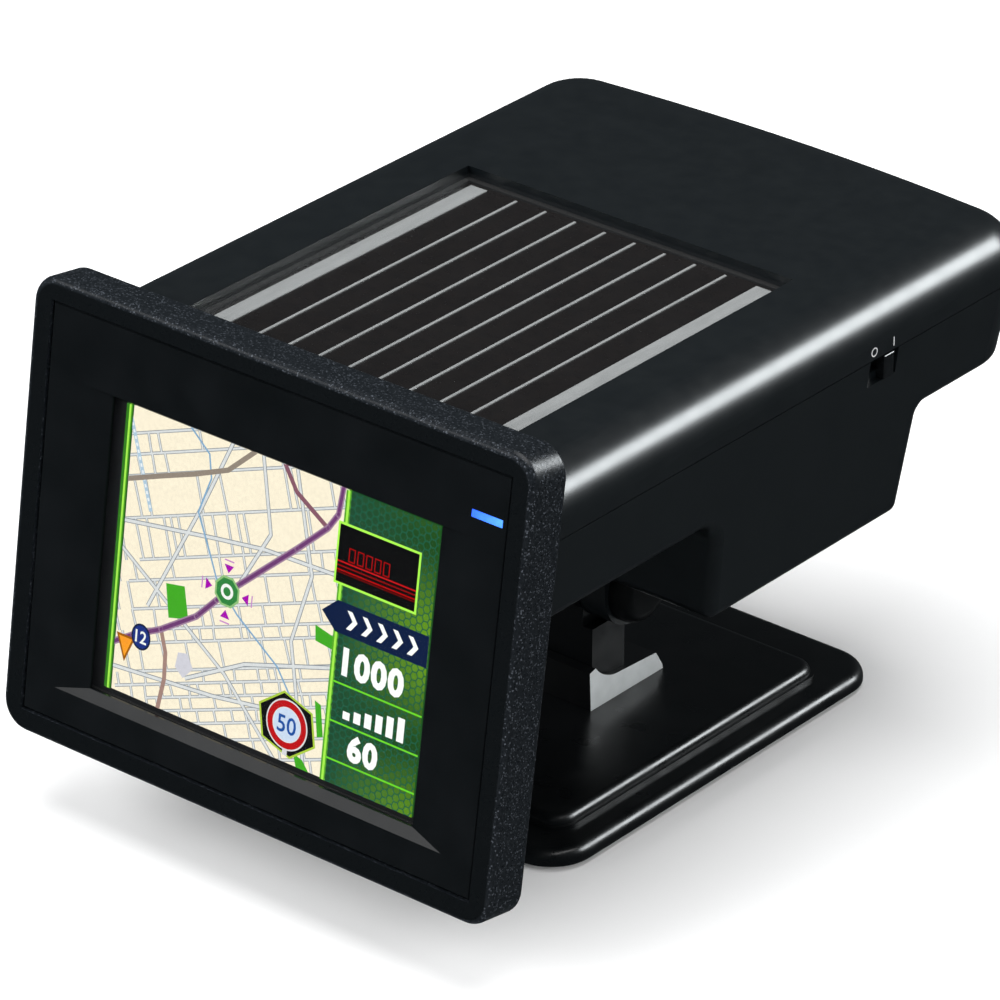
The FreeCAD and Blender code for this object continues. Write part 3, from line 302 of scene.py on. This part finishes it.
def dress_everything():
    steel = metal("plain_steel", (0.55, 0.56, 0.58), 0.35)
    screw = metal("dark_screw_steel", (0.16, 0.165, 0.175), 0.35, 0.8)
    board = circuit_board()
    moulded = plain("moulded_chip_black", (0.02, 0.02, 0.022), 0.55)
    rubber = plain("black_seal", (0.012, 0.012, 0.012), 0.8, 0.8, 0.02)
    dress(sparkle_black(), "bezel_rim")
    dress(gloss_black("piano_black_panel", 0.12, 0.16), "front_panel")
    dress(satin_black(), "upper_case", "lower_case", "display_back_cover", "hinge_bracket")
    dress(gloss_black("gloss_black_base", 0.3, 0.3), "base_plate")
    dress(gloss_black("dark_stand_plastic", 0.45, 0.18), "stand_arm", "tilt_bolt")
    dress(gloss_black("gloss_black_knob", 0.2), "power_switch_knob")
    dress(foot_finish(), "stand_foot")
    dress(clear_cover("clear_touch_glass", 0.1), "touch_panel")
    dress(clear_cover("clear_solar_cover", 0.14), "solar_cover")
    dress(solar_dark(), "solar_cell")
    dress(solar_silver(), "solar_bus_bars")
    dress(plain("black_display_module", (0.01, 0.01, 0.011), 0.4), "lcd_panel")
    dress(steel, "lcd_frame", "shield_can", "gps_shield", "card_socket", "power_switch_body",
          "speaker_frame", "pivot_washer", "friction_washers")
    dress(screw, "display_screws", "case_screws", "board_screws", "pivot_screw", "foot_screws",
          "bracket_screws", "tilt_nut")
    dress(board, "display_board", "status_led", "main_board", "mixer_board")
    dress(moulded, "board_chips", "ribbon_connector", "dc_jack")
    dress(rubber, "screen_gasket", "solar_gasket")
    dress(light_guide(), "status_led_lens")
    dress(plain("patch_antenna_ceramic", (0.6, 0.52, 0.36), 0.5), "gps_antenna")
    dress(plain("amber_film", (0.45, 0.22, 0.05), 0.3), "display_ribbon")
    dress(metal("cast_horn_metal", (0.5, 0.51, 0.52), 0.5, 2.0), "radar_horn")
    dress(plain("speaker_cone_paper", (0.02, 0.02, 0.021), 0.85, 0.6, 0.03), "speaker_cone")
    dress(metal("magnet_plating", (0.25, 0.25, 0.26), 0.45), "speaker_magnet")
    dress(plain("green_cell_wrap", (0.02, 0.14, 0.05), 0.3), "battery_cells")
    dress(foam(), "adhesive_pad")


# --------------------------------------------------------------------------- display picture

LEAN = math.radians(8.7)
FACE_UP = Vector((0, math.sin(LEAN), math.cos(LEAN)))
FACE_OUT = Vector((0, -math.cos(LEAN), math.sin(LEAN)))
SCREEN_HALF = (32.5, 24.375)
MODULE_HALF_THICK = 1.2

CREAM = (1.0, 0.91, 0.70)
STREET_EDGE = (0.27, 0.30, 0.32)
STREET = (0.74, 0.77, 0.77)
GREEN_LINE = (0.16, 0.75, 0.02)
PALE_GREEN = (0.40, 0.90, 0.08)
PARK = (0.055, 0.42, 0.015)
PURPLE = (0.16, 0.045, 0.17)
MAUVE = (0.36, 0.22, 0.34)
RIVER = (0.23, 0.42, 0.62)
NAVY = (0.004, 0.012, 0.05)
WHITE = (0.92, 0.97, 0.92)
BLACK = (0.002, 0.002, 0.002)
RED = (0.52, 0.004, 0.006)


def clip(points, low, high):
    """A convex outline cut to a rectangle."""
    for axis in (0, 1):
        for sign, limit in ((1, low[axis]), (-1, -high[axis])):
            kept = []
            for first, second in zip(points, points[1:] + points[:1]):
                inside = [sign * p[axis] >= limit for p in (first, second)]
                if inside[0]:
                    kept.append(first)
                if inside[0] != inside[1]:
                    share = (limit / sign - first[axis]) / (second[axis] - first[axis])
                    kept.append(tuple(a + share * (b - a) for a, b in zip(first, second)))
            points = kept
            if len(points) < 3:
                return []
    return points


class Picture:
    """Flat coloured shapes on the display module, each level a little nearer the glass."""

    def __init__(self, node):
        low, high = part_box(node)
        self.middle = (low + high) / 2 + FACE_OUT * (MODULE_HALF_THICK + 0.01) * MM
        self.mesh = bmesh.new()
        self.paint = self.mesh.loops.layers.float_color.new("paint")
        self.level = 0
        self.window = (tuple(-h for h in SCREEN_HALF), SCREEN_HALF)

    def raise_level(self):
        self.level += 1

    def point(self, spot):
        return self.middle + (Vector((spot[0], 0, 0)) + FACE_UP * spot[1]
                              + FACE_OUT * 0.012 * self.level) * MM

    def shape(self, points, colour):
        """A convex shape; colour is one colour or one per corner."""
        if isinstance(colour[0], tuple):
            shades = dict(zip(points, colour))
        else:
            shades = {}
        kept = clip(list(points), *self.window)
        if not kept:
            return
        face = self.mesh.faces.new([self.mesh.verts.new(self.point(spot)) for spot in kept])
        if face.normal.dot(FACE_OUT) < 0:
            face.normal_flip()
        for loop, spot in zip(face.loops, kept):
            shade = shades.get(spot, colour if not shades else colour[0])
            loop[self.paint] = (*shade, 1.0)

    def panel(self, left, low, right, high, colours):
        """A rectangle with one colour, or one at its left and one at its right."""
        corners = [(left, low), (right, low), (right, high), (left, high)]
        if isinstance(colours[0], tuple):
            first, second = colours
            self.shape(corners, (first, second, second, first))
        else:
            self.shape(corners, colours)

    def line(self, points, width, colour):
        """A band along a run of points, with round joins."""
        for (x0, y0), (x1, y1) in zip(points, points[1:]):
            length = math.hypot(x1 - x0, y1 - y0)
            across = (-(y1 - y0) / length * width / 2, (x1 - x0) / length * width / 2)
            self.shape([(x0 + across[0], y0 + across[1]), (x1 + across[0], y1 + across[1]),
                        (x1 - across[0], y1 - across[1]), (x0 - across[0], y0 - across[1])],
                       colour)
        self.raise_level()
        for spot in points[1:-1]:
            self.disc(spot, width / 2, colour, 10)

    def disc(self, middle, radius, colour, sides=36, turn=0.0, squash=1.0):
        self.shape([(middle[0] + radius * math.cos(turn + 2 * math.pi * i / sides),
                     middle[1] + radius * squash * math.sin(turn + 2 * math.pi * i / sides))
                    for i in range(sides)], colour)

    def frame(self, left, low, right, high, width, colour):
        """Four bars round a rectangle."""
        self.panel(left, low, right, low + width, colour)
        self.panel(left, high - width, right, high, colour)
        self.panel(left, low + width, left + width, high - width, colour)
        self.panel(right - width, low + width, right, high - width, colour)

    def digits(self, words, middle, height, colour, weight=0.0, spacing=1.0):
        """Plain numerals centred on a point, height millimetres high."""
        curve = bpy.data.curves.new("numerals", "FONT")
        curve.body = words
        curve.size = height / 0.7
        curve.offset = weight
        curve.space_character = spacing
        curve.resolution_u = 3
        holder = bpy.data.objects.new("numerals", curve)
        bpy.context.scene.collection.objects.link(holder)
        bpy.context.view_layer.update()
        flat = holder.evaluated_get(bpy.context.evaluated_depsgraph_get()).to_mesh()
        corners = [v.co.copy() for v in flat.vertices]
        centre = [(min(c[a] for c in corners) + max(c[a] for c in corners)) / 2 for a in (0, 1)]
        for polygon in flat.polygons:
            self.shape([(corners[i].x - centre[0] + middle[0], corners[i].y - centre[1] + middle[1])
                        for i in polygon.vertices], colour)
        holder.to_mesh_clear()
        bpy.data.objects.remove(holder)
        bpy.data.curves.remove(curve)

    def finish(self, name, material):
        data = bpy.data.meshes.new(name)
        self.mesh.to_mesh(data)
        self.mesh.free()
        data.materials.append(material)
        made = bpy.data.objects.new(name, data)
        bpy.context.scene.collection.objects.link(made)
        return made


MAP_LEFT, MAP_RIGHT = -31.2, 13.8


def city_streets():
    """Bands of parallel and crossing streets, broken into blocks; the same every run."""
    rng = random.Random(11)
    along = Vector((math.cos(math.radians(20)), math.sin(math.radians(20))))
    across = Vector((-along.y, along.x))
    streets = []
    row = -44.0
    while row < 44:
        gap = rng.choice((2.2, 2.8, 3.4, 4.6)) if row < 2 else rng.choice((3.4, 5.2, 6.8))
        start, end = -38 + rng.uniform(0, 12), 38 - rng.uniform(0, 14)
        streets.append((along * start + across * row, along * end + across * row))
        place = -38.0
        while place < 34:
            if rng.random() < (0.72 if place + row < 0 else 0.5):
                lean = rng.uniform(-0.25, 0.25)
                foot = along * place + across * row
                streets.append((foot, foot + across * gap + along * lean))
            place += rng.choice((1.6, 2.2, 3.0, 3.8, 5.2))
        row += gap
    return streets


def draw_map(picture):
    picture.window = ((MAP_LEFT, -SCREEN_HALF[1]), (MAP_RIGHT, SCREEN_HALF[1]))
    picture.panel(MAP_LEFT, -25, MAP_RIGHT, 25, CREAM)
    picture.raise_level()
    streets = city_streets()
    avenues = [[(-33, 4.5), (-12, 7.8), (-2, 9.2), (14, 9.8)],
               [(-25, -8), (-15.5, 12), (-10, 25)], [(-33, 1.2), (-8, -14), (4, -25)],
               [(-16, -17.5), (-4, -11), (14, -5.5)], [(-33, -20.5), (-10, -18.5), (14, -14.8)],
               [(-7, 1), (-1, 12), (-4, 25)], [(3, 25), (8, 8), (5, -4), (10, -25)]]
    for band, colour in ((0.56, STREET_EDGE), (0.32, STREET)):
        for start, end in streets:
            picture.line([tuple(start), tuple(end)], band, colour)
            picture.level -= 1
        picture.raise_level()
    for band, colour in ((0.78, STREET_EDGE), (0.5, STREET)):
        for avenue in avenues:
            picture.line(avenue, band, colour)
            picture.level -= 1
        picture.raise_level()
        picture.raise_level()
    picture.shape([(-21.5, -2.9), (-17.6, -2.2), (-16.3, -7.4), (-20.4, -8.5)], PARK)
    picture.shape([(9.6, 0.4), (13.4, -0.4), (13.4, -2.6), (9.9, -2.2)], PARK)
    picture.shape([(10.9, -12), (12.2, -12.4), (13.2, -17.5), (12, -18)], PARK)
    picture.shape([(7.5, -22.2), (9.5, -22.8), (11.5, -25), (8.5, -25)], PARK)
    picture.shape([(-17.8, -13.6), (-15.9, -13.2), (-14.4, -15.4), (-16.4, -17.6),
                   (-18.2, -16.2)], (0.66, 0.66, 0.72))
    picture.line([(-19.8, 25), (-14.8, 21.2), (-14, 17.3), (-16.1, 11), (-13.1, 5.2),
                  (-11.1, 1), (-6.4, -3.3), (2.7, -9.1), (5.8, -13)], 0.34, RIVER)
    picture.line([(-31.6, 22.5), (-25.9, 7.9)], 0.75, (0.45, 0.62, 0.75))
    for step in range(14):
        share = step / 14
        spot = (-31.6 + 5.7 * share, 22.5 - 14.6 * share)
        picture.line([spot, (spot[0] + 0.2, spot[1] - 0.5)], 0.4, (0.85, 0.9, 0.92))
        picture.level -= 1
    picture.raise_level()
    picture.line([(-33, 11.2), (-24, 14.6), (-17.7, 16.9), (-10.7, 19.8), (-5, 25)], 0.85,
                 (0.30, 0.25, 0.20))
    picture.line([(-21.7, -10.9), (-20.4, -14.5), (-20.2, -19), (-21.2, -25)], 0.85,
                 (0.38, 0.24, 0.20))
    picture.line([(0.3, 25), (3.5, 20.7), (10.4, 16.8)], 0.85, (0.25, 0.10, 0.14))
    main_road = [(-33, -17.2), (-27.5, -13.8), (-21.7, -10.9), (-14.6, -6.3), (-10.7, -2.2),
                 (-6.9, 1.4), (4.6, 11.5), (10.4, 16.9), (12.2, 19.7), (12.8, 25)]
    picture.line(main_road, 1.1, MAUVE)
    picture.line(main_road, 0.62, PURPLE)


def draw_markers(picture):
    """Own position, route number, speed sign and the target on the map."""
    picture.shape([(-30.9, -14.3), (-26.9, -14.3), (-28.9, -18.9)], (0.35, 0.11, 0.0))
    picture.raise_level()
    picture.shape([(-30.3, -14.7), (-27.5, -14.7), (-28.9, -18.0)], (1.0, 0.36, 0.02))
    picture.disc((-25.7, -13.6), 2.05, NAVY, squash=1.1)
    picture.raise_level()
    picture.disc((-25.7, -13.6), 1.75, (0.01, 0.03, 0.22), squash=1.1)
    picture.raise_level()
    picture.digits("12", (-25.7, -13.6), 2.1, WHITE, 0.04)
    middle = (-8.7, -0.1)
    picture.disc(middle, 2.75, (0.28, 0.55, 0.2), 8, math.pi / 8)
    picture.raise_level()
    picture.disc(middle, 2.35, (0.03, 0.24, 0.05), 8, math.pi / 8)
    picture.raise_level()
    picture.disc(middle, 1.3, WHITE)
    picture.raise_level()
    picture.disc(middle, 0.75, (0.03, 0.24, 0.05))
    magenta = (0.40, 0.0, 0.45)
    for turn in range(4):
        angle = turn * math.pi / 2
        out = Vector((math.cos(angle), math.sin(angle)))
        side = Vector((-out.y, out.x))
        base = Vector(middle)
        tip, back = base + out * 3.1, base + out * 4.5
        picture.shape([tuple(tip), tuple(back + side), tuple(back - side)], magenta)
        bar = base + out * 5.1
        picture.shape([tuple(bar + side), tuple(bar - side), tuple(bar - side + out * 0.25),
                       tuple(bar + side + out * 0.25)], (0.6, 0.25, 0.62))
    sign = (5.9, -17.9)
    for radius, colour in ((6.5, (0.42, 0.62, 0.05)), (6.05, BLACK)):
        picture.disc(sign, radius, colour, 6, math.radians(-20), 0.86)
        picture.raise_level()
    picture.panel(sign[0] - 0.5, -23.1, sign[0] + 0.5, -21.2, (0.7, 0.72, 0.74))
    picture.raise_level()
    for radius, colour in ((4.3, (0.75, 0.75, 0.75)), (4.05, RED), (2.95, (0.75, 0.78, 0.82)),
                           (2.7, (0.62, 0.74, 0.9))):
        picture.disc(sign, radius, colour)
        picture.raise_level()
    picture.digits("50", sign, 2.9, (0.01, 0.08, 0.36), 0.05)


def hexagons(picture, left, right, low, high):
    """A honeycomb that brightens to the right."""
    size = 0.78
    column = 0
    x = left
    while x < right:
        y = low + (size * 0.87 if column % 2 else 0)
        while y < high:
            share = (x - left) / (right - left)
            wave = 0.5 + 0.5 * math.sin(y * 0.19 + 0.8)
            glow = (0.012 + 0.14 * share * wave, 0.07 + 0.29 * share * wave, 0.028 - 0.02 * share)
            picture.disc((x, y), size * 0.86, glow, 6)
            y += size * 1.74
        x += size * 1.5
        column += 1


def draw_side_panel(picture):
    picture.window = ((MAP_RIGHT - 2.9, -SCREEN_HALF[1]), SCREEN_HALF)
    picture.panel(14.4, -25, 33, 25, ((0.010, 0.11, 0.06), (0.02, 0.17, 0.008)))
    picture.raise_level()
    hexagons(picture, 15.0, 33.5, -25, 25)
    picture.panel(13.5, -25, 14.6, 25, (0.10, 0.42, 0.02))
    picture.raise_level()
    picture.panel(13.85, -25, 14.3, 25, PALE_GREEN)
    for height in (-7.5, -14.1, -20.5):
        picture.panel(14.4, height, 32.5, height + 0.3, GREEN_LINE)
    picture.raise_level()
    picture.panel(12.6, 8.7, 29.4, 19.0, PALE_GREEN)
    picture.raise_level()
    picture.panel(13.0, 9.1, 29.0, 18.6, BLACK)
    picture.raise_level()
    for height, colour in ((12.4, RED), (11.7, (0.25, 0, 0)), (11.0, (0.4, 0, 0)),
                           (10.6, (0.12, 0, 0))):
        picture.panel(13.0, height, 29.0, height + 0.25, colour)
    for step in range(5):
        left = 15.2 + step * 1.75
        picture.frame(left, 12.9, left + 1.3, 15.2, 0.16, (0.42, 0.0, 0.0))
    picture.raise_level()
    picture.shape([(10.9, 3.5), (13.9, 0.8), (13.9, 6.1)], NAVY)
    picture.panel(13.9, 0.8, 33, 6.1, NAVY)
    picture.raise_level()
    for step in range(5):
        left = 16.0 + step * 3.1
        picture.shape([(left, 1.9), (left + 1.0, 1.9), (left + 2.2, 3.45), (left + 1.2, 3.45)],
                      WHITE)
        picture.shape([(left + 1.2, 3.45), (left + 2.2, 3.45), (left + 1.0, 5.0), (left, 5.0)],
                      WHITE)
    picture.digits("1000", (22.2, -3.5), 4.3, WHITE, 0.28, 1.12)
    for step in range(6):
        left = 17.0 + step * 2.2
        picture.panel(left, -12.9, left + 1.4, -11.6 + 0.55 * step, WHITE)
    picture.digits("60", (21.6, -17.2), 4.0, WHITE, 0.28, 1.12)


def build_picture():
    picture = Picture("lcd_panel")
    picture.panel(-SCREEN_HALF[0], -SCREEN_HALF[1], SCREEN_HALF[0], SCREEN_HALF[1],
                  (0.01, 0.09, 0.01))
    picture.raise_level()
    draw_map(picture)
    draw_markers(picture)
    picture.window = (tuple(-h for h in SCREEN_HALF), SCREEN_HALF)
    picture.panel(-32.5, -25, -31.9, 25, (0.03, 0.20, 0.01))
    picture.panel(-31.9, -25, -31.5, 25, PALE_GREEN)
    picture.panel(-31.5, -25, -31.2, 25, (0.06, 0.30, 0.01))
    picture.raise_level()
    draw_side_panel(picture)
    shown = picture.finish("display_picture", lit_picture().material)
    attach(shown, "head")


# --------------------------------------------------------------------------- switch marks

def flat_mesh(name, faces, material):
    """A mesh of separate flat faces, each a list of points in metres."""
    built = bmesh.new()
    for face in faces:
        built.faces.new([built.verts.new(spot) for spot in face])
    data = bpy.data.meshes.new(name)
    built.to_mesh(data)
    built.free()
    data.materials.append(material)
    made = bpy.data.objects.new(name, data)
    bpy.context.scene.collection.objects.link(made)
    return made


def switch_marks():
    """A ring at the switch's off end and a bar at its on end, printed on the side wall."""
    low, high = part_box("power_switch_knob")
    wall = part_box("upper_case")[1].x + 0.00002
    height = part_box("upper_case")[0].z + 0.0014
    on_end = (low.y + high.y) / 2
    off_end = on_end - 0.0042
    faces = []
    count = 28
    for index in range(count):
        ring = []
        for turn, radius in ((index, 0.0008), (index + 1, 0.0008), (index + 1, 0.0006),
                             (index, 0.0006)):
            angle = 2 * math.pi * turn / count
            ring.append((wall, off_end + radius * math.cos(angle),
                         height + radius * math.sin(angle)))
        faces.append(ring)
    faces.append([(wall, on_end + 0.001 + y, height + z)
                  for y, z in ((-0.00011, -0.0008), (0.00011, -0.0008), (0.00011, 0.0008),
                               (-0.00011, 0.0008))])
    marks = flat_mesh("switch_marks", faces, white_print().material)
    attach(marks, "head")


# --------------------------------------------------------------------------- studio

def floor():
    """A plain pale floor, which doesn't show in reflections."""
    pale = Finish("pale_floor", (0.9, 0.9, 0.9), 0.9, specular=0.0)
    pale.shade((0.885, 0.885, 0.885), (0.9, 0.9, 0.9), 60)
    size = 3.0
    z = cad_box[0][2] - 0.00005
    sheet = flat_mesh("studio_floor", [[(-size, -size, z), (size, -size, z), (size, size, z),
                                        (-size, size, z)]], pale.material)
    sheet.visible_glossy = False


def softbox(name, direction, distance, size, power, along=(0, 0, 1), tint=(1, 1, 1),
            diffuse=True, glossy=True):
    """An area light that looks at the object from one direction, its height along one axis."""
    data = bpy.data.lights.new(name, "AREA")
    data.shape = "RECTANGLE"
    data.size, data.size_y = size
    data.energy = power
    data.color = tint
    light = bpy.data.objects.new(name, data)
    back = Vector(direction).normalized()
    side = Vector(along).cross(back).normalized()
    turn = Matrix((side, back.cross(side), back)).transposed()
    light.matrix_world = Matrix.Translation(Vector((0, 0, 0.05)) + back * distance) @ turn.to_4x4()
    light.visible_diffuse = diffuse
    light.visible_glossy = glossy
    bpy.context.scene.collection.objects.link(light)


def lights():
    """One soft box overhead, two seen only as reflections, and two that only fill the shadows."""
    softbox("rear_right_strip", (0.558, 0.680, 0.476), 1.1, (0.38, 0.6), 20.0,
            along=(-0.517, 0.733, -0.442), tint=(0.93, 0.98, 1.0), diffuse=False)
    softbox("overhead", (0.02, 0.02, 1.0), 1.8, (1.6, 1.6), 44.0, along=(0, 1, 0))
    softbox("front_left_fill", (-0.55, -0.75, 0.45), 1.5, (1.6, 1.0), 34.0, glossy=False)
    softbox("right_fill", (0.9, -0.2, 0.5), 1.8, (1.4, 1.0), 18.0, glossy=False)
    softbox("front_left_box", (-0.566, -0.623, 0.542), 1.3, (0.7, 0.35), 3.2, diffuse=False)


def world():
    """Pale where the camera sees it directly, and dim light from all round otherwise."""
    made = bpy.data.worlds.new("studio")
    made.use_nodes = True
    bpy.context.scene.world = made
    tree = made.node_tree
    tree.nodes.clear()
    seen = tree.nodes.new("ShaderNodeBackground")
    seen.inputs["Color"].default_value = (0.93, 0.94, 0.95, 1)
    ambient = tree.nodes.new("ShaderNodeBackground")
    ambient.inputs["Color"].default_value = (0.80, 0.92, 1.0, 1)
    ambient.inputs["Strength"].default_value = 0.06
    path = tree.nodes.new("ShaderNodeLightPath")
    mixed = tree.nodes.new("ShaderNodeMixShader")
    output = tree.nodes.new("ShaderNodeOutputWorld")
    tree.links.new(path.outputs["Is Camera Ray"], mixed.inputs["Fac"])
    tree.links.new(ambient.outputs["Background"], mixed.inputs[1])
    tree.links.new(seen.outputs["Background"], mixed.inputs[2])
    tree.links.new(mixed.outputs["Shader"], output.inputs["Surface"])


CAMERA_PLACE = (0.5988, -0.7352, 0.5407)
CAMERA_FORWARD = (-0.5658, 0.6796, -0.4669)
CAMERA_LENS = 234.0
CAMERA_SENSOR = 36.0


def camera():
    data = bpy.data.cameras.new("camera")
    data.lens = CAMERA_LENS
    data.sensor_width = CAMERA_SENSOR
    data.clip_end = 20.0
    made = bpy.data.objects.new("camera", data)
    made.location = CAMERA_PLACE
    made.rotation_euler = Vector(CAMERA_FORWARD).to_track_quat("-Z", "Y").to_euler()
    bpy.context.scene.collection.objects.link(made)
    bpy.context.scene.camera = made


dress_everything()
build_picture()
switch_marks()
floor()
lights()
world()
camera()
bpy.context.scene.view_settings.view_transform = "Standard"
